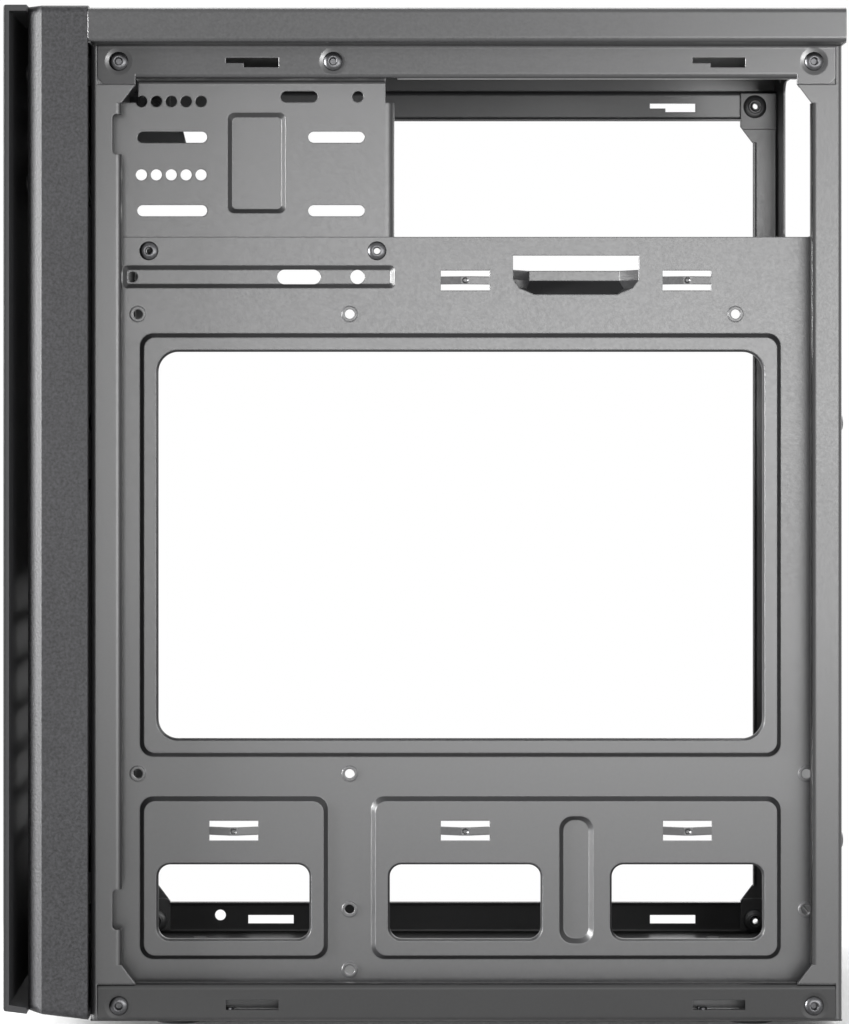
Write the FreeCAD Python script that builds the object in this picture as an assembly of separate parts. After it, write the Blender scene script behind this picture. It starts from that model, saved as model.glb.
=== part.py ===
"""Mini-tower computer case with its side panels off, as folded steel sheets and moulded front parts.

Frame: millimetres, +Z up, origin on the ground under the centre of the case.
-X is the front bezel, +X the rear, -Y the side behind the motherboard tray, +Y the open side.
"""
import FreeCAD, Part
import math
import os
from FreeCAD import Vector

os.makedirs("parts", exist_ok=True)

# Overall sizes
case_width = 185.0
chassis_height = 337.6
chassis_depth = 251.0
bezel_depth = 28.0
foot_height = 4.0

# Sheet steel
sheet = 0.8
bend = 1.0
touch = 0.1

# Top and bottom rails
rail_recess = 9.5
lip_height = 11.6
rail_height = 11.0
rail_return = 4.0
floor_rail_height = 12.7
rail_end_gap = 2.3
hook_length = 17.6
hook_height = 3.3
hook_step_length = 6.0
hook_step_height = 1.4
hook_from_front = 54.0
hook_from_rear = 41.2
hook_drop = 4.0
far_hole_from_front = 34.4
far_hole_height = 7.3
far_hole_radius = 2.1

# Corner posts
post_width = 10.3
post_lip = 4.0
gusset_reach = 4.7
gusset_rise = 6.2
corner_pad_height = 13.0
post_notch_depth = 3.0
post_notch_height = 13.4
post_notch_drop = 34.5
post_notch_low = 30.7
post_notch_radius = 1.4
drive_access_height = 36.0
drive_ear_reach = 19.6
drive_ear_lean = 2.4

# Rivets
rivet_shank_radius = 1.6
rivet_head_radius = 3.2
rivet_crown_radius = 1.9
rivet_head_height = 1.1
rivet_tail_length = 2.2
rivet_dimple_radius = 4.6
rivet_dimple_depth = 0.35
rivet_inset = 9.4
rivet_drop = 5.3
panel_rivet_heights = (60.0, 200.0)
bracket_end_inset = 13.8
bracket_end_pitch = 20.0
floor_rivet_inset = 46.0

# Motherboard tray
tray_setback = 10.6
tray_edge_fold = 8.8
tray_below_top = 75.0
tray_skirt = 13.0
tray_skirt_inset = 9.0
emboss_height = 2.0
emboss_run = 1.5
emboss_radius = 4.5
rim_width = 6.3
window_front_margin = 22.0
window_rear_margin = 25.5
window_low = 93.6
window_below_tray_top = 38.8
window_radius = 6.7
window_flange = 1.2
window_flange_run = 0.7
pad_low = 19.1
pad_high = 74.0
pad_gap = 14.5
low_window_low = 26.1
low_window_high = 51.1
low_window_radius = 4.0
low_window_web = 24.0
rib_width = 13.1
rib_low = 23.8
rib_high = 68.3
rib_depth = 1.8
bridge_length = 16.4
bridge_slot = 2.0
bridge_strip = 2.7
bridge_rise = 2.0
bridge_flat = 2.6
bridge_dimple_radius = 1.1
bridge_dimple_depth = 0.5
low_bridge_height = 62.6
top_bridge_drop = 14.7
channel_drop = 8.8
channel_height = 9.3
channel_length = 102.4
channel_depth = 1.6
channel_slot_from_front = 61.9
channel_slot_length = 14.7
channel_slot_height = 4.9
channel_holes = ((89.0, 2.4), (13.0, 1.75))

# Board pattern, measured from the rear panel and from the lowest row
board_insets = (10.7, 34.5, 164.6, 236.0)
board_row_low = 15.5
board_row_step = 20.4
board_row_span = 45.72
board_row_tall = 154.94
board_boss_radius = 2.6
board_boss_height = 0.7
board_hole_radius = 1.6

# Power supply rest drawn out of the tray
rest_width = 42.5
rest_foot_width = 28.0
rest_belly_width = 38.5
rest_belly_share = 0.45
rest_depth = 9.0
rest_taper = 6.0
rest_open_drop = 6.3
rest_press = 0.7
rest_knee_drop = 14.5
rest_low_drop = 19.4

# Drive bracket
bracket_length = 101.5
bracket_overlap = 8.4
bracket_fold = 12.0
bracket_bend = 2.2
bracket_clear = 7.0
bracket_tab_start = 15.0
bracket_slot_height = 3.8
bracket_hole_radius = 1.9
bracket_hole_pitch = 5.03
bracket_hole_count = 5
bracket_hole_inset = 16.1
bracket_row_pitch = 24.8
bracket_first_row = 29.2
bracket_slot_offset = 12.1
bracket_front_slot = 23.6
bracket_rear_slot = 19.0
bracket_slot_front_inset = 14.7
bracket_slot_rear_inset = 10.1
bracket_panel_width = 21.2
bracket_panel_height = 35.6
bracket_panel_front_inset = 44.4
bracket_panel_drop = 32.2
bracket_upper_drop = 27.6
bracket_upper_slot = 12.5
bracket_upper_from_front = 63.1
bracket_upper_hole_inset = 12.3
bracket_rail_rivet_inset = 20.5
bracket_rivet_front_inset = 18.7
bracket_rivet_rear_inset = 5.9
bracket_rivet_drop = 4.7

# Rear panel openings
supply_width = 150.0
supply_height = 86.0
supply_edge = 6.0
supply_side_hole_drop = 64.0
supply_low_hole_run = 114.0
supply_low_hole_drop = 74.0
supply_hole_radius = 2.0
supply_opening_width = 118.0
supply_opening_height = 62.0
supply_opening_drop = 9.6
supply_shift = 3.8
port_window_width = 44.45
port_window_height = 158.75
port_window_low = 91.0
port_window_offset = 6.6
fan_spacing = 71.5
fan_hole_radius = 2.2
fan_centre_height = 205.0
fan_offset = 99.6
vent_pitch = 10.5
vent_flat = 8.6
vent_rings = 3

# Expansion slots
slot_count = 4
slot_pitch = 20.32
slot_low = 15.0
slot_opening_width = 12.9
cover_width = 18.4
cover_length = 104.0
cover_offset = 4.3
slot_end_margin = 6.0
ledge_depth = 11.0
ledge_root = 3.5
slot_screw_radius = 1.6
slot_screw_head_radius = 3.2
slot_screw_head_height = 2.2
slot_screw_length = 5.0

# Front panel openings
intake_height = 95.0
intake_pitch = 15.0
intake_flat = 12.6
wire_hole_radius = 11.0
wire_hole_height = 232.0
clip_width = 8.0
clip_thickness = 3.0
clip_reach = 3.4
clip_barb = 0.9
clip_spread = 66.0
clip_heights = (32.0, 172.0, 319.0)

# Feet
foot_radius = 10.0
foot_taper = 1.5
foot_inset_x = 28.0
foot_inset_y = 25.0
foot_stem_radius = 2.5
foot_barb_radius = 3.4
foot_barb_height = 2.2

# Front bezel and front plate
bezel_wall = 2.2
bezel_side_depth = 15.3
bezel_bevel_depth = 4.9
bezel_bevel_width = 4.5
bezel_radius = 2.5
bezel_rise_rear = 2.3
bezel_rise_front = 5.6
bezel_over_top = 0.8
plate_thickness = 2.0
plate_corner = 2.0

# Front controls, all on one small board behind the front plate
board_thickness = 1.6
board_width = 92.0
board_height = 48.0
board_below_top = 12.0
board_standoff = 18.0
post_radius = 3.2
post_inset = 5.0
control_row = 14.0
port_row = 36.0
press_travel = 1.2
press_gap = 0.4
power_radius = 7.0
reset_radius = 2.6
reset_offset = 24.0
press_flange = 1.8
press_flange_height = 1.2
press_sink = 0.3
stem_radius = 1.6
switch_side = 6.0
switch_height = 4.0
stem_start = 0.5
stem_end_gap = 0.5
light_radius = 1.5
light_offsets = (-20.0, -28.0)
serial_inset = 17.0
serial_pitch = 21.0
serial_width = 14.0
serial_height = 7.0
serial_wall = 0.6
serial_depth = 12.0
serial_tongue_width = 10.6
serial_tongue_height = 1.8
jack_inset = 15.0
jack_pitch = 17.0
jack_side = 11.0
jack_nose_radius = 3.6
jack_bore_radius = 1.8
jack_bore_depth = 13.0
jack_nose_length = 6.0
hole_clearance = 0.3
board_screw_radius = 1.2
board_screw_head_radius = 2.6
board_screw_head_height = 1.6
board_screw_length = 8.0

# Places worked out from the driving sizes
overall_depth = bezel_depth + chassis_depth + ledge_depth
x_nose = -overall_depth / 2
x_front = x_nose + bezel_depth
x_rear = x_front + chassis_depth
x_front_in = x_front + sheet
x_rear_in = x_rear - sheet
z_under = foot_height
z_floor = z_under + sheet
z_top = z_under + chassis_height
z_step = z_top - lip_height
z_rail = z_step - rail_height
lip_y = case_width / 2
rail_y = lip_y - rail_recess
tray_face = -rail_y + tray_setback
tray_back = tray_face + sheet
tray_top = z_top - tray_below_top
sides = (-1, 1)


def place(plane, a, b, w):
    """Point with coordinates a, b in a named plane, at distance w along the plane's normal axis."""
    if plane == "XY":
        return Vector(a, b, w)
    if plane == "YZ":
        return Vector(w, a, b)
    return Vector(a, w, b)


def along(plane, length):
    return place(plane, 0, 0, length)


def slab(x0, x1, y0, y1, z0, z1):
    return Part.makeBox(x1 - x0, y1 - y0, z1 - z0, Vector(x0, y0, z0))


def rod(centre, axis, radius, length):
    return Part.makeCylinder(radius, length, centre, axis)


def rectangle(a0, a1, b0, b1):
    return [(a0, b0), (a1, b0), (a1, b1), (a0, b1)]


def unit(p, q):
    length = math.hypot(q[0] - p[0], q[1] - p[1])
    return ((q[0] - p[0]) / length, (q[1] - p[1]) / length)


def corner(before, vertex, after, radius):
    """Tangent points, arc middle and arc centre of a rounded corner."""
    d1 = unit(before, vertex)
    d2 = unit(vertex, after)
    cross = d1[0] * d2[1] - d1[1] * d2[0]
    turn = math.atan2(cross, d1[0] * d2[0] + d1[1] * d2[1])
    reach = radius * math.tan(abs(turn) / 2)
    start = (vertex[0] - d1[0] * reach, vertex[1] - d1[1] * reach)
    end = (vertex[0] + d2[0] * reach, vertex[1] + d2[1] * reach)
    sign = 1 if turn > 0 else -1
    centre = (start[0] - d1[1] * radius * sign, start[1] + d1[0] * radius * sign)
    out = unit(centre, vertex)
    middle = (centre[0] + out[0] * radius, centre[1] + out[1] * radius)
    return start, middle, end, centre, sign


def outline(plane, w, points, radius=0.0):
    """Closed wire through points, with every corner rounded to the same radius."""
    if not radius:
        return Part.makePolygon([place(plane, a, b, w) for a, b in points + points[:1]])
    count = len(points)
    rounds = [corner(points[i - 1], points[i], points[(i + 1) % count], radius) for i in range(count)]
    edges = []
    for i, (start, middle, end, _, _) in enumerate(rounds):
        previous = rounds[i - 1][2]
        if math.dist(previous, start) > touch / 100:
            edges.append(Part.LineSegment(place(plane, *previous, w), place(plane, *start, w)).toShape())
        arc = Part.Arc(place(plane, *start, w), place(plane, *middle, w), place(plane, *end, w))
        edges.append(arc.toShape())
    return Part.Wire(edges)


def prism(plane, w0, w1, points, radius=0.0):
    return Part.Face(outline(plane, w0, points, radius)).extrude(along(plane, w1 - w0))


def obround(plane, w0, w1, a0, a1, b0, b1):
    """Slot with fully rounded ends."""
    radius = min(a1 - a0, b1 - b0) / 2 * 0.999
    return prism(plane, w0, w1, rectangle(a0, a1, b0, b1), radius)


def folded(plane, path, side, w0, w1, radius=bend):
    """Bent sheet: one face follows path, and the thickness lies left (+1) or right (-1) of it."""
    def beside(point, direction):
        return (point[0] - direction[1] * sheet * side, point[1] + direction[0] * sheet * side)

    def line(p, q):
        return Part.LineSegment(place(plane, *p, w0), place(plane, *q, w0)).toShape()

    def arc(p, m, q):
        return Part.Arc(place(plane, *p, w0), place(plane, *m, w0), place(plane, *q, w0)).toShape()

    first = unit(path[0], path[1])
    last = unit(path[-2], path[-1])
    edges = []
    back = []
    here = path[0]
    there = beside(path[0], first)
    for i in range(1, len(path) - 1):
        d1 = unit(path[i - 1], path[i])
        d2 = unit(path[i], path[i + 1])
        outer = (d1[0] * d2[1] - d1[1] * d2[0]) * side > 0
        near = radius + sheet if outer else radius
        far = radius if outer else radius + sheet
        start, middle, end, centre, _ = corner(path[i - 1], path[i], path[i + 1], near)
        out = unit(centre, path[i])
        mirror = (centre[0] + out[0] * far, centre[1] + out[1] * far)
        edges += [line(here, start), arc(start, middle, end)]
        back += [line(there, beside(start, d1)), arc(beside(start, d1), mirror, beside(end, d2))]
        here = end
        there = beside(end, d2)
    edges += [line(here, path[-1]), line(path[-1], beside(path[-1], last))]
    back.append(line(there, beside(path[-1], last)))
    edges += back[::-1]
    edges.append(line(beside(path[0], first), path[0]))
    return Part.Face(Part.Wire(edges)).extrude(along(plane, w1 - w0))


def inset(box, step):
    x0, x1, z0, z1 = box
    return (x0 + step, x1 - step, z0 + step, z1 - step)


def swage(box, radius, y0, y1, run):
    """Drafted block between a rectangle at y0 and the same rectangle, drawn in by run, at y1."""
    root = outline("XZ", y0, rectangle(*box), radius)
    crown = outline("XZ", y1, rectangle(*inset(box, run)), max(radius - run / 2, run / 2))
    return Part.makeLoft([root, crown], True, True)


def pressed(face, back, box, radius, height, run=emboss_run):
    """Solid to add and solid to remove for an embossed area: height > 0 rises from face towards -Y."""
    near, far = (face, back) if height > 0 else (back, face)
    add = swage(box, radius, near, near - height, run)
    remove = swage(inset(box, sheet), radius, far, far - height, run)
    return add, remove


def hook_slot(x_start, z_low):
    """Stepped slot for a side panel hook: the front end is only as high as its upper part."""
    z_high = z_low + hook_height
    x_step = x_start + hook_step_length
    x_end = x_start + hook_length
    points = [(x_start, z_low + hook_step_height), (x_step, z_low + hook_step_height), (x_step, z_low)]
    points += [(x_end, z_low), (x_end, z_high), (x_start, z_high)]
    return prism("XZ", -lip_y, lip_y, points)


def honeycomb(plane, w0, w1, a, b, pitch, flat, rings):
    """Hexagonal field of hexagonal holes."""
    holes = []
    reach = flat / math.sqrt(3)
    for row in range(-rings, rings + 1):
        count = 2 * rings + 1 - abs(row)
        for column in range(count):
            ca = a + (column - (count - 1) / 2) * pitch
            cb = b + row * pitch * math.sqrt(3) / 2
            turns = [math.radians(30 + 60 * k) for k in range(6)]
            points = [(ca + reach * math.cos(t), cb + reach * math.sin(t)) for t in turns]
            holes.append(prism(plane, w0, w1, points))
    return holes


# Places shared by several pieces
rail_front = x_front + rail_end_gap
rail_rear = x_rear - rail_end_gap
rivet_xs = (x_front + rivet_inset, x_rear - rivet_inset)
rivet_top = z_step - rivet_drop
rivet_low = z_under + rivet_drop
bracket_front = x_front_in
bracket_rear = bracket_front + bracket_length - sheet
bracket_rivet_x = bracket_rear - bracket_rail_rivet_inset
frame_rivets = [(x, side, z) for x in rivet_xs for side in sides for z in (rivet_low, rivet_top)]
frame_rivets.append((bracket_rivet_x, -1, rivet_top))
bracket_rivets = [(x_front + bracket_rivet_front_inset, tray_top - bracket_rivet_drop),
                  (bracket_rear - bracket_rivet_rear_inset, tray_top - bracket_rivet_drop)]
fold_middle = tray_back - tray_edge_fold / 2
front_rivets = [(fold_middle, z_under + z) for z in panel_rivet_heights]
bracket_low = tray_top - bracket_overlap
bracket_end_low = bracket_low + bracket_end_inset
front_rivets += [(tray_back + bracket_fold / 2, bracket_end_low + z) for z in (0, bracket_end_pitch)]
rear_rivets = [(fold_middle, z_under + z) for z in panel_rivet_heights]
floor_rivets = [(x, fold_middle, z_under) for x in (x_front + floor_rivet_inset, x_rear - floor_rivet_inset)]
foot_places = {
    "foot_front_near": (x_front + foot_inset_x, -rail_y + foot_inset_y),
    "foot_front_far": (x_front + foot_inset_x, rail_y - foot_inset_y),
    "foot_rear_near": (x_rear - foot_inset_x, -rail_y + foot_inset_y),
    "foot_rear_far": (x_rear - foot_inset_x, rail_y - foot_inset_y),
}


def rivet_bores(places):
    """Shank holes through a rail and the post pad behind it."""
    radius = rivet_shank_radius + touch / 2
    reach = 2 * rivet_dimple_radius
    return [rod(Vector(x, s * lip_y, z), Vector(0, -s, 0), radius, rail_recess + reach) for x, s, z in places]


def rivet_dimples(places):
    """Shallow conical seats for the rivet heads in the outer face of the rails."""
    cones = []
    for x, side, z in places:
        seat = Vector(x, side * rail_y, z)
        inwards = Vector(0, -side, 0)
        cones.append(Part.makeCone(rivet_dimple_radius, rivet_head_radius, rivet_dimple_depth, seat, inwards))
    return cones


def across(side, y0, y1, x0, x1, z0, z1):
    """Box whose Y range is measured outwards on one side of the case."""
    low, high = sorted((side * y0, side * y1))
    return slab(x0, x1, low, high, z0, z1)


hook_starts = (x_front + hook_from_front - hook_length / 2, x_rear - hook_from_rear - hook_length / 2)


tab_length = post_width + gusset_reach - rail_end_gap
rail_ends = ((rail_front, rail_front + tab_length), (rail_rear - tab_length, rail_rear))
outer_ends = ((x_front - bend, rail_front), (rail_rear, x_rear + bend))
sheet_ends = ((x_front - bend, x_front_in + touch), (x_rear_in - touch, x_rear + bend))


def top_panel():
    """Top sheet with outer lips, a step inwards, side rails and their return flanges, in one fold."""
    half = [(rail_y - rail_return, z_rail), (rail_y, z_rail), (rail_y, z_step), (lip_y, z_step), (lip_y, z_top)]
    path = [(-y, z) for y, z in half] + half[::-1]
    body = folded("YZ", path, -1, x_front, x_rear)
    inner = rail_y - rail_return - bend
    fold = sheet + bend + touch
    cuts = [hook_slot(x, z_step - hook_drop - hook_height) for x in hook_starts]
    for side in sides:
        for x0, x1 in outer_ends:
            cuts.append(across(side, inner, rail_y + fold, x0, x1, z_rail - bend, z_step))
        for x0, x1 in sheet_ends:
            cuts.append(across(side, inner, lip_y - sheet, x0, x1, z_step - bend, z_step + fold))
        for x0, x1 in rail_ends:
            cuts.append(across(side, inner, rail_y - sheet, x0, x1, z_rail - bend, z_rail + fold))
    x_hung = bracket_rear + bend
    cuts.append(across(-1, inner, rail_y - sheet, rail_front, x_hung, z_rail - bend, z_rail + fold))
    body = body.cut(cuts)
    tabs = []
    z_tab = z_step - corner_pad_height + touch
    for x0, x1 in rail_ends:
        outer = x0 if x0 < 0 else x1
        lean = bend if x0 < 0 else -bend
        inner_x = x1 if x0 < 0 else x0
        points = [(inner_x, z_rail + fold), (inner_x, z_tab), (outer + 2 * lean, z_tab)]
        points += [(outer, z_tab + 2 * bend), (outer, z_rail + fold)]
        for side in sides:
            y0, y1 = sorted((side * rail_y, side * (rail_y - sheet)))
            tabs.append(prism("XZ", y0, y1, points))
    top_rivets = [place_ for place_ in frame_rivets if place_[2] == rivet_top]
    return body.fuse(tabs).cut(rivet_bores(top_rivets) + rivet_dimples(top_rivets))


def bottom_panel():
    """Floor with upturned side rails; feet and the tray flange are fastened through it."""
    z_rail_top = z_under + floor_rail_height
    half = [(rail_y - rail_return, z_rail_top), (rail_y, z_rail_top), (rail_y, z_under)]
    path = [(-y, z) for y, z in half] + half[::-1]
    body = folded("YZ", path, 1, x_front, x_rear)
    inner = rail_y - rail_return - bend
    fold = sheet + bend + touch
    z_hook = z_under + hook_drop
    cuts = [prism("XZ", -lip_y, lip_y, rectangle(x, x + hook_length, z_hook, z_hook + hook_height))
            for x in hook_starts]
    for side in sides:
        for x0, x1 in outer_ends:
            cuts.append(across(side, inner, rail_y + bend, x0, x1, z_floor, z_rail_top + bend))
        for x0, x1 in rail_ends:
            cuts.append(across(side, inner, rail_y - sheet, x0, x1, z_rail_top - fold, z_rail_top + bend))
    extra = Vector(x_front + far_hole_from_front, inner, z_under + far_hole_height)
    cuts.append(rod(extra, Vector(0, 1, 0), far_hole_radius, rail_return + 2 * bend))
    for x, y in foot_places.values():
        cuts.append(rod(Vector(x, y, 0), Vector(0, 0, 1), foot_stem_radius + touch, z_floor + bend))
    for x, y, _ in floor_rivets:
        cuts.append(rod(Vector(x, y, 0), Vector(0, 0, 1), rivet_shank_radius + touch / 2, z_floor + bend))
    low_rivets = [place_ for place_ in frame_rivets if place_[2] == rivet_low]
    return body.cut(cuts).cut(rivet_bores(low_rivets) + rivet_dimples(low_rivets))


def end_pan(face_x, inward):
    """Pan whose folded side flanges are corner posts, with inner lips, gussets and joggled pads."""
    def x(distance):
        return face_x + inward * distance

    z_high = z_step - touch
    z_low_pad = z_under + floor_rail_height + touch
    z_high_pad = z_step - corner_pad_height
    z_straight = (z_low_pad + gusset_rise, z_high_pad - gusset_rise)
    wide = x(post_width + gusset_reach)
    lipped = [(x(post_width), rail_y - post_lip), (x(post_width), rail_y), (face_x, rail_y)]
    flat = [(wide, rail_y), (face_x, rail_y)]

    def pan(half, z0, z1):
        return folded("XY", [(a, -b) for a, b in half] + half[::-1], -inward, z0, z1)

    body = pan(lipped, *z_straight).fuse([pan(flat, z_floor, z_straight[0]), pan(flat, z_straight[1], z_high)])
    ear = lip_y - sheet - touch
    ear_cut = bend + touch
    crown = [(-ear, z_high), (ear, z_high), (ear, z_top - sheet - ear_cut), (ear - ear_cut, z_top - sheet)]
    crown += [(ear_cut - ear, z_top - sheet), (-ear, z_top - sheet - ear_cut)]
    body = body.fuse(prism("YZ", face_x, x(sheet), crown))
    cuts = []
    pads = []
    for z0, z1 in ((z_straight[0], z_low_pad), (z_straight[1], z_high_pad)):
        past = wide + inward
        cuts.append(prism("XZ", -lip_y, lip_y, [(x(post_width), z0), (wide, z1), (past, z1), (past, z0)]))
    pad_x = sorted((x(rail_end_gap - touch), wide))
    back_x = sorted((x(rail_end_gap - touch - bend), wide))
    for side in sides:
        z_base = z_floor + bend + touch
        cuts.append(across(side, rail_y - sheet, lip_y, *pad_x, z_floor, z_low_pad))
        cuts.append(across(side, rail_y - sheet, lip_y, *pad_x, z_high_pad, z_high + bend))
        cuts.append(across(side, rail_y - 3 * sheet, lip_y, *pad_x, z_floor, z_base))
        pads.append(across(side, rail_y - 2 * sheet, rail_y - sheet, *back_x, z_base, z_low_pad + bend))
        pads.append(across(side, rail_y - 2 * sheet, rail_y - sheet, *back_x, z_high_pad - bend, z_high))
    corner_rivets = [place_ for place_ in frame_rivets if abs(place_[0] - face_x) < 2 * rivet_inset]
    return body.cut(cuts).fuse(pads).cut(cuts[:2] + rivet_bores(corner_rivets))


def clip_places():
    return [(side * clip_spread, z_under + z) for side in sides for z in clip_heights]


def along_x_holes(places, x, radius):
    """Holes along X through a sheet that starts near x."""
    return [rod(Vector(x - bend, y, z), Vector(1, 0, 0), radius, sheet + 2 * bend) for y, z in places]


def front_panel():
    """Front pan with air intake, wire hole and bezel clip holes; drives pass its far flange under an ear."""
    body = end_pan(x_front, 1)
    through = (x_front - bend, x_front_in + bend)
    cuts = honeycomb("YZ", *through, 0, z_under + intake_height, intake_pitch, intake_flat, vent_rings)
    cuts += along_x_holes([(0, z_under + wire_hole_height)], x_front, wire_hole_radius)
    for y, z in clip_places():
        room = clip_thickness / 2 + clip_barb + hole_clearance
        tall = clip_width / 2 + hole_clearance
        cuts.append(prism("YZ", *through, rectangle(y - room, y + room, z - tall, z + tall)))
    notch_x = x_front + post_width - post_notch_depth
    past = x_front + post_width + 2 * post_notch_radius
    z_upper = z_top - post_notch_drop
    z_lower = z_under + post_notch_low
    y_lip = rail_y - post_lip - bend
    low_notch = rectangle(notch_x, past, z_lower, z_lower + post_notch_height)
    high_notch = rectangle(notch_x, past, z_upper - post_notch_height, z_upper)
    cuts += [prism("XZ", -lip_y, -y_lip, low_notch, post_notch_radius),
             prism("XZ", y_lip, lip_y, low_notch, post_notch_radius),
             prism("XZ", -lip_y, -y_lip, high_notch, post_notch_radius)]
    cuts.append(across(1, y_lip, lip_y, x_front - touch, past, z_upper - drive_access_height, z_upper))
    cuts += along_x_holes(front_rivets, x_front, rivet_shank_radius + touch / 2)
    z_ear = z_step - corner_pad_height - touch
    ear_x = x_front + drive_ear_reach
    ear = [(x_front + post_width - bend, z_upper), (ear_x + drive_ear_lean, z_upper), (ear_x, z_ear)]
    ear += [(x_front + post_width - bend, z_ear)]
    return body.fuse(prism("XZ", rail_y - sheet, rail_y, ear)).cut(cuts)


def supply_holes():
    """Power supply screw holes: the two upper corners, one side and one low hole."""
    z_high = z_top - sheet - supply_edge
    y_near = supply_shift - supply_width / 2 + supply_edge
    y_far = supply_shift + supply_width / 2 - supply_edge
    return [(y_near, z_high), (y_far, z_high), (y_near, z_high - supply_side_hole_drop),
            (y_near + supply_low_hole_run, z_high - supply_low_hole_drop)]


def fan_places():
    y = tray_back + fan_offset
    z = z_under + fan_centre_height
    half = fan_spacing / 2
    return [(y + a * half, z + b * half) for a in sides for b in sides]


def slot_heights():
    return [z_under + slot_low + slot_pitch * i for i in range(slot_count)]


ledge_y = tray_back + cover_offset + cover_length
ledge_low = slot_heights()[0] - slot_pitch / 2 + touch
ledge_high = slot_heights()[-1] + slot_pitch / 2 - touch
slot_screw_x = x_rear + ledge_depth / 2


def rear_panel():
    """Rear pan with power supply opening, port window, fan vent, slot openings and screw ledge."""
    body = end_pan(x_rear, -1)
    through = (x_rear_in - bend, x_rear + bend)
    z_open = z_top - supply_opening_drop
    y_open = supply_shift - supply_opening_width / 2
    opening = rectangle(y_open, y_open + supply_opening_width, z_open - supply_opening_height, z_open)
    cuts = [prism("YZ", *through, opening, emboss_radius)]
    y_port = tray_back + port_window_offset
    z_port = z_under + port_window_low
    port_window = rectangle(y_port, y_port + port_window_width, z_port, z_port + port_window_height)
    cuts.append(prism("YZ", *through, port_window))
    cuts += along_x_holes(supply_holes(), x_rear_in, supply_hole_radius)
    cuts += along_x_holes(fan_places(), x_rear_in, fan_hole_radius)
    y_fan = tray_back + fan_offset
    cuts += honeycomb("YZ", *through, y_fan, z_under + fan_centre_height, vent_pitch, vent_flat, vent_rings)
    lanced = rectangle(ledge_y - ledge_root, ledge_y + ledge_depth, ledge_low, ledge_high)
    cuts.append(prism("YZ", *through, lanced))
    y_low = ledge_y - cover_length + slot_end_margin
    y_high = ledge_y - ledge_root - slot_end_margin / 2
    for z in slot_heights():
        half = slot_opening_width / 2
        cuts.append(prism("YZ", *through, rectangle(y_low, y_high, z - half, z + half)))
    cuts += along_x_holes(rear_rivets, x_rear_in, rivet_shank_radius + touch / 2)
    path = [(x_rear_in, ledge_y - ledge_root), (x_rear_in, ledge_y), (x_rear + ledge_depth, ledge_y)]
    ledge = folded("XY", path, -1, ledge_low, ledge_high)
    radius = slot_screw_radius + touch / 2
    holes = [rod(Vector(slot_screw_x, ledge_y - bend, z), Vector(0, 1, 0), radius, 2 * bend)
             for z in slot_heights()]
    return body.cut(cuts).fuse(ledge.cut(holes))


def slot_cover(z):
    """Blank cover behind one slot, its tab bent out over the screw ledge."""
    half = cover_width / 2
    path = [(x_rear_in, ledge_y - cover_length), (x_rear_in, ledge_y), (x_rear + ledge_depth - bend, ledge_y)]
    body = folded("XY", path, 1, z - half, z + half)
    hole = rod(Vector(slot_screw_x, ledge_y - bend, z), Vector(0, 1, 0), slot_screw_radius + touch, 3 * bend)
    return body.cut(hole)


def slot_screw(z):
    seat = Vector(slot_screw_x, ledge_y + sheet, z)
    head = rod(seat, Vector(0, 1, 0), slot_screw_head_radius, slot_screw_head_height)
    shank = rod(seat, Vector(0, -1, 0), slot_screw_radius, slot_screw_length)
    return head.fuse(shank)


def bridge(x, z):
    """Lanced tie point: two slots, and between them a strip raised to a crown with a dimple in it."""
    half = bridge_length / 2
    strip = bridge_strip / 2
    opening = rectangle(x - half, x + half, z - strip - bridge_slot, z + strip + bridge_slot)
    cut = prism("XZ", tray_face - bend, tray_back + bend, opening)
    y_crown = tray_face - bridge_rise
    path = [(x - half - bend, tray_face), (x - half, tray_face), (x - bridge_flat / 2, y_crown)]
    path += [(2 * x - a, b) for a, b in path[::-1]]
    path += [(a, b + sheet) for a, b in path[::-1]]
    dimple = Part.makeCone(bridge_dimple_radius, bridge_dimple_radius / 2, bridge_dimple_depth,
                           Vector(x, y_crown, z), Vector(0, 1, 0))
    return cut, prism("XY", z - strip, z + strip, path).cut(dimple)


def supply_rest(x):
    """Half-cup drawn inwards from the tray, open upwards, that carries the power supply."""
    z_low = tray_top - rest_low_drop
    z_knee = tray_top - rest_knee_drop
    z_rim = z_top - sheet - supply_height + rest_press

    def cup(grow, y_start, stations):
        wires = []
        for z, width, depth in stations:
            half = width / 2 + grow
            lean = rest_taper * depth / rest_depth
            y_end = tray_back + depth + grow
            points = [(x - half, y_start), (x + half, y_start)]
            points += [(x + half - lean, y_end), (x - half + lean, y_end)]
            wires.append(outline("XY", z, points))
        return Part.makeLoft(wires, True, True)

    def stations(lift):
        z_belly = z_low + rest_belly_share * (z_knee - z_low)
        belly_depth = rest_belly_share * rest_depth
        return [(z_low + lift, rest_foot_width, 0), (z_belly + lift, rest_belly_width, belly_depth),
                (z_knee + lift, rest_width, rest_depth)]

    solid = cup(sheet, tray_face, stations(-sheet) + [(z_rim, rest_width, rest_depth)])
    hollow = cup(0, tray_face - touch, stations(0) + [(z_rim + touch, rest_width, rest_depth)])
    gap = rectangle(x - rest_width / 2, x + rest_width / 2, z_rim, tray_top - rest_open_drop)
    return solid, [hollow, prism("XZ", tray_face - bend, tray_back + bend, gap)]


def board_places():
    """Tapped bosses for the board, in rows counted up from the floor."""
    rows = [z_under + board_row_low]
    for step in (board_row_step, board_row_span, board_row_tall):
        rows.append(rows[-1] + step)
    rear, upper, middle, front = [x_rear - d for d in board_insets]
    return [(middle, rows[0]), (middle, rows[1]), (rear, rows[1]), (front, rows[2]), (middle, rows[2]),
            (rear, rows[2]), (front, rows[3]), (middle, rows[3]), (upper, rows[3])]


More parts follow.
